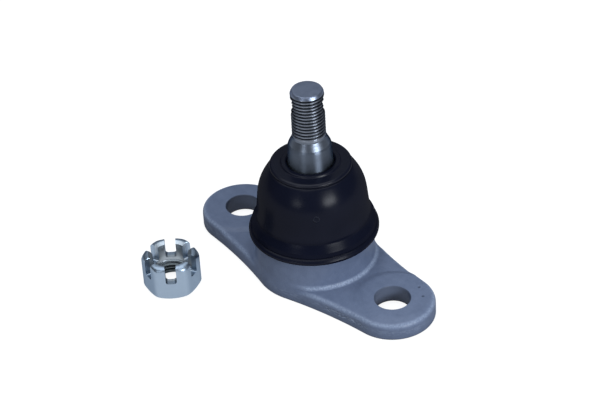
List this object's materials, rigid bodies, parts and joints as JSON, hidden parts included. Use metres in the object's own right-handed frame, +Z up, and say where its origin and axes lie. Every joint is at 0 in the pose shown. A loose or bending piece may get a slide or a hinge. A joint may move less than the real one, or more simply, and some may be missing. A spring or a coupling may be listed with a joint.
{
  "type": "suspension ball joint",
  "caption": "Suspension ball joint: forged bolt-on flange with a bearing boss, a ball stud that swings and spins in its bearing, a rubber dust boot, and a loose castle nut.",
  "frame": {"origin": "On the ball's vertical axis, in the plane of the flange's bottom face, half way between the two bolt holes.", "axes": "+Z up the stud, away from the flange; +X along the line of the two bolt holes; +Y across the flange."},
  "size_m": [0.1274, 0.0893, 0.0895],
  "materials": {
    "forging": "satin coating on a blasted forging",
    "stud_steel": "ground and polished",
    "bearing_plastic": "moulded",
    "plate_steel": "pressed sheet",
    "boot_rubber": "semi-matte moulded",
    "zinc_plate": "bright zinc plate"
  },
  "bodies": {
    "housing": {"housing": "forging", "upper_bearing": "bearing_plastic", "lower_bearing": "bearing_plastic", "disc_spring": "plate_steel", "cover_plate": "plate_steel", "boot_base_ring": "plate_steel", "boot_bead": "boot_rubber"},
    "boot_middle": {"boot_wall": "boot_rubber"},
    "boot_top": {"boot_collar": "boot_rubber", "boot_neck_ring": "plate_steel"},
    "stud": {"ball_stud": "stud_steel"},
    "nut": {"castle_nut": "zinc_plate"}
  },
  "joints": [
    {"name": "swing_x", "type": "hinge", "parent": "housing", "child": "boot_middle", "pos_m": [0, 0, 0.0215], "axis": [1, 0, 0], "range_deg": [-18, 18], "deforming": ["boot_wall"]},
    {"name": "swing_y", "type": "hinge", "parent": "boot_middle", "child": "boot_top", "pos_m": [0, 0, 0.0215], "axis": [0, 1, 0], "range_deg": [-18, 18], "deforming": ["boot_wall"]},
    {"name": "stud_spin", "type": "hinge", "parent": "boot_top", "child": "stud", "pos_m": [0, 0, 0.0215], "axis": [0, 0, 1], "continuous": true},
    {"name": "nut_lift", "type": "slide", "parent": "housing", "child": "nut", "axis": [0, 0, 1], "range_m": [0, 0.05]}
  ]
}
